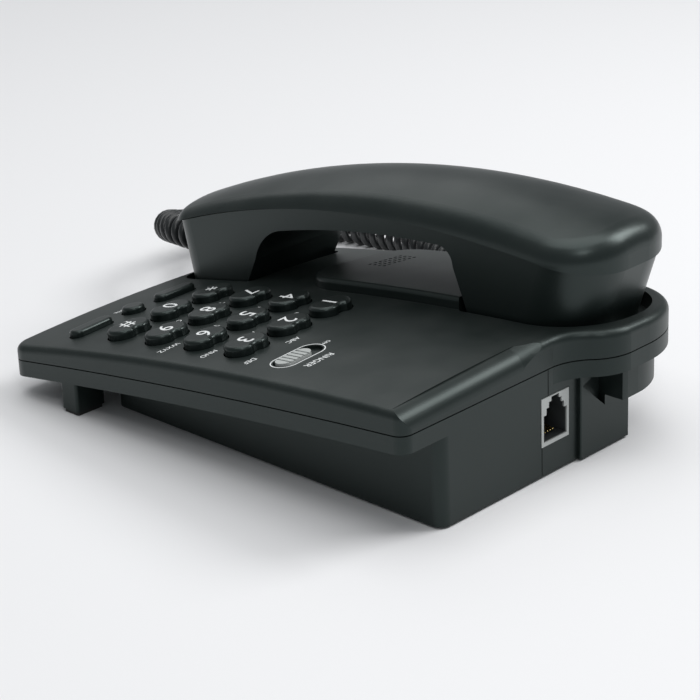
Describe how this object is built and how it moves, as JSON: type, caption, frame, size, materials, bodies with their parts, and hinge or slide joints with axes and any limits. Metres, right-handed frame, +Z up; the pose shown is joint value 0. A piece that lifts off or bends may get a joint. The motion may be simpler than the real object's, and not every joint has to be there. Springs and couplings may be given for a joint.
{
  "type": "corded landline telephone",
  "caption": "Corded desk telephone: a wedge-shaped base with a push-button keypad and line socket, its handset lying in a cradle on the left, joined by a curly cord.",
  "frame": {"origin": "on the table, under the middle of the telephone's outline seen from above", "axes": "+X to the user's right, +Y from the keypad's front to the rear, +Z up from the table"},
  "size_m": [0.1931, 0.2551, 0.0771],
  "materials": {
    "case_plastic": "satin black moulded plastic",
    "handset_plastic": "satin black moulded plastic",
    "key_plastic": "satin black plastic with white characters",
    "grey_plastic": "light grey plastic",
    "rubber": "dull black rubber",
    "keypad_rubber": "grey silicone rubber",
    "circuit_board": "green circuit board",
    "board_parts": "dull black components",
    "speaker": "dark metal",
    "switch_body": "dull dark plastic",
    "contact_metal": "gold-plated wire",
    "socket_plastic": "black plastic",
    "plug_plastic": "clear plastic",
    "cord_jacket": "smooth black jacket",
    "screw_steel": "zinc plated",
    "steel_weight": "bare steel"
  },
  "bodies": {
    "base": {"upper_case": "case_plastic", "lower_case": "case_plastic", "front_feet": "rubber", "rear_feet": "rubber", "keypad_mat": "keypad_rubber", "keypad_board": "circuit_board", "main_board": "circuit_board", "board_parts": "board_parts", "ringer_speaker": "speaker", "ringer_switch": "switch_body", "line_jack": "grey_plastic", "line_jack_contacts": "contact_metal", "base_cord_jack": "socket_plastic", "base_plug": "plug_plastic", "curly_cord": "cord_jacket", "hook_switch": "switch_body", "case_screws": "screw_steel", "base_weight": "steel_weight"},
    "handset": {"handset_top": "handset_plastic", "handset_bottom": "handset_plastic", "earpiece": "speaker", "microphone": "speaker", "handset_weight": "steel_weight", "handset_screws": "screw_steel", "handset_cord_jack": "socket_plastic", "handset_plug": "plug_plastic"},
    "hook_plunger": {"hook_plunger": "case_plastic"},
    "ringer_slider": {"ringer_slider": "grey_plastic"},
    "key_1": {"key_1": "key_plastic"},
    "key_2": {"key_2": "key_plastic"},
    "key_3": {"key_3": "key_plastic"},
    "key_4": {"key_4": "key_plastic"},
    "key_5": {"key_5": "key_plastic"},
    "key_6": {"key_6": "key_plastic"},
    "key_7": {"key_7": "key_plastic"},
    "key_8": {"key_8": "key_plastic"},
    "key_9": {"key_9": "key_plastic"},
    "key_star": {"key_star": "key_plastic"},
    "key_0": {"key_0": "key_plastic"},
    "key_hash": {"key_hash": "key_plastic"},
    "left_function_key": {"left_function_key": "key_plastic"},
    "middle_function_key": {"middle_function_key": "key_plastic"},
    "right_function_key": {"right_function_key": "key_plastic"}
  },
  "joints": [
    {"name": "handset_lift", "type": "slide", "parent": "base", "child": "handset", "axis": [0, 0, 1], "range_m": [0, 0.12]},
    {"name": "hook_plunger_rise", "type": "slide", "parent": "base", "child": "hook_plunger", "axis": [0, 0, 1], "range_m": [0, 0.004]},
    {"name": "ringer_slide", "type": "slide", "parent": "base", "child": "ringer_slider", "axis": [0.9987, 0, -0.0515], "range_m": [-0.004, 0]},
    {"name": "key_1_press", "type": "slide", "parent": "base", "child": "key_1", "axis": [-0.0093, 0.1295, -0.9915], "range_m": [0, 0.0015], "stiffness_N_per_m": 300},
    {"name": "key_2_press", "type": "slide", "parent": "base", "child": "key_2", "axis": [-0.031, 0.1296, -0.9911], "range_m": [0, 0.0015], "stiffness_N_per_m": 300},
    {"name": "key_3_press", "type": "slide", "parent": "base", "child": "key_3", "axis": [-0.0527, 0.1297, -0.9902], "range_m": [0, 0.0015], "stiffness_N_per_m": 300},
    {"name": "key_4_press", "type": "slide", "parent": "base", "child": "key_4", "axis": [-0.0092, 0.1459, -0.9893], "range_m": [0, 0.0015], "stiffness_N_per_m": 300},
    {"name": "key_5_press", "type": "slide", "parent": "base", "child": "key_5", "axis": [-0.0309, 0.1459, -0.9888], "range_m": [0, 0.0015], "stiffness_N_per_m": 300},
    {"name": "key_6_press", "type": "slide", "parent": "base", "child": "key_6", "axis": [-0.0525, 0.146, -0.9879], "range_m": [0, 0.0015], "stiffness_N_per_m": 300},
    {"name": "key_7_press", "type": "slide", "parent": "base", "child": "key_7", "axis": [-0.0092, 0.1622, -0.9867], "range_m": [0, 0.0015], "stiffness_N_per_m": 300},
    {"name": "key_8_press", "type": "slide", "parent": "base", "child": "key_8", "axis": [-0.0308, 0.1623, -0.9863], "range_m": [0, 0.0015], "stiffness_N_per_m": 300},
    {"name": "key_9_press", "type": "slide", "parent": "base", "child": "key_9", "axis": [-0.0524, 0.1624, -0.9853], "range_m": [0, 0.0015], "stiffness_N_per_m": 300},
    {"name": "key_star_press", "type": "slide", "parent": "base", "child": "key_star", "axis": [-0.0092, 0.1785, -0.9839], "range_m": [0, 0.0015], "stiffness_N_per_m": 300},
    {"name": "key_0_press", "type": "slide", "parent": "base", "child": "key_0", "axis": [-0.0307, 0.1786, -0.9834], "range_m": [0, 0.0015], "stiffness_N_per_m": 300},
    {"name": "key_hash_press", "type": "slide", "parent": "base", "child": "key_hash", "axis": [-0.0523, 0.1787, -0.9825], "range_m": [0, 0.0015], "stiffness_N_per_m": 300},
    {"name": "left_function_key_press", "type": "slide", "parent": "base", "child": "left_function_key", "axis": [-0.0092, 0.1957, -0.9806], "range_m": [0, 0.0015], "stiffness_N_per_m": 300},
    {"name": "middle_function_key_press", "type": "slide", "parent": "base", "child": "middle_function_key", "axis": [-0.0306, 0.1958, -0.9802], "range_m": [0, 0.0015], "stiffness_N_per_m": 300},
    {"name": "right_function_key_press", "type": "slide", "parent": "base", "child": "right_function_key", "axis": [-0.0521, 0.1959, -0.9792], "range_m": [0, 0.0015], "stiffness_N_per_m": 300}
  ],
  "couplings": [
    {"joint": "hook_plunger_rise", "follows": "handset_lift", "ratio": 0.0333}
  ]
}
